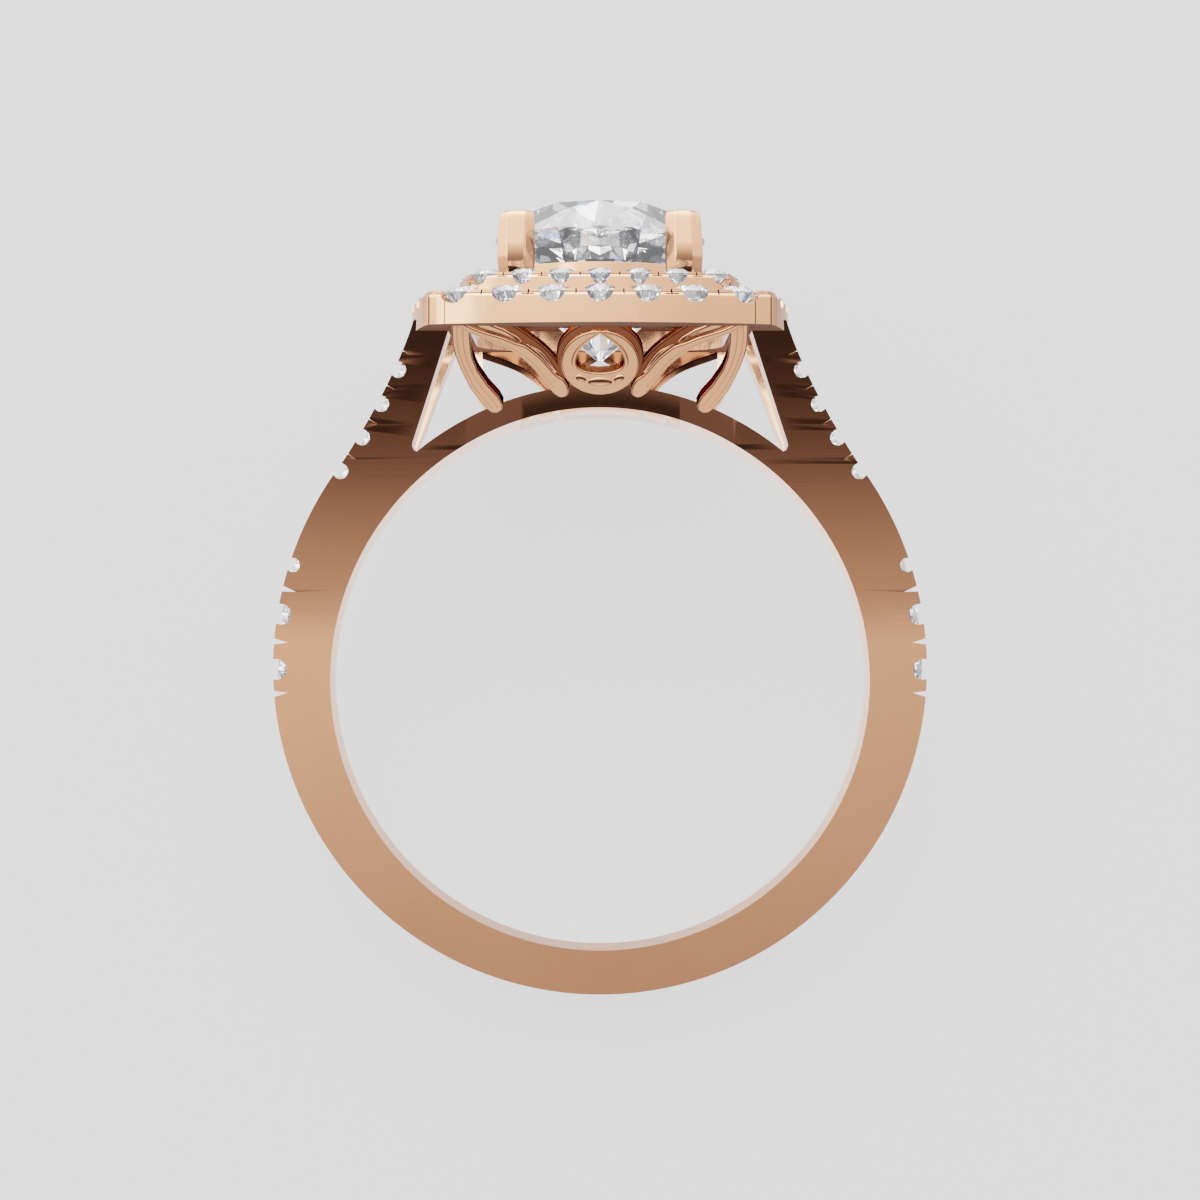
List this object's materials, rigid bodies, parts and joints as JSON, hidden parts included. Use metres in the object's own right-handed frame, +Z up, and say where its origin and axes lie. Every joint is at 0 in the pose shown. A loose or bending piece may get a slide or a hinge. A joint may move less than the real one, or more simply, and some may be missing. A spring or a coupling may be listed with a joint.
{
  "type": "diamond engagement ring",
  "caption": "Finger ring with a split shank, a round stone in prongs over a two-tier cushion halo, and pierced scroll work under the head.",
  "frame": {"origin": "centre of the finger hole, in the middle of the band's width", "axes": "+Z up with the ring lying at rest on its side, +Y from the finger hole towards the head as seen from above, +X to the right of the picture; the finger axis leans about 13 degrees from +Z towards -Y"},
  "size_m": [0.02, 0.0242, 0.0115],
  "materials": {
    "gold": "polished",
    "centre_gem": "faceted",
    "small_gem": "faceted"
  },
  "bodies": {
    "root": {"cast_mount": "gold", "centre_stone": "centre_gem", "lower_halo_stones": "small_gem", "upper_halo_stones": "small_gem", "shoulder_stones": "small_gem", "band_stones": "small_gem"}
  },
  "joints": []
}
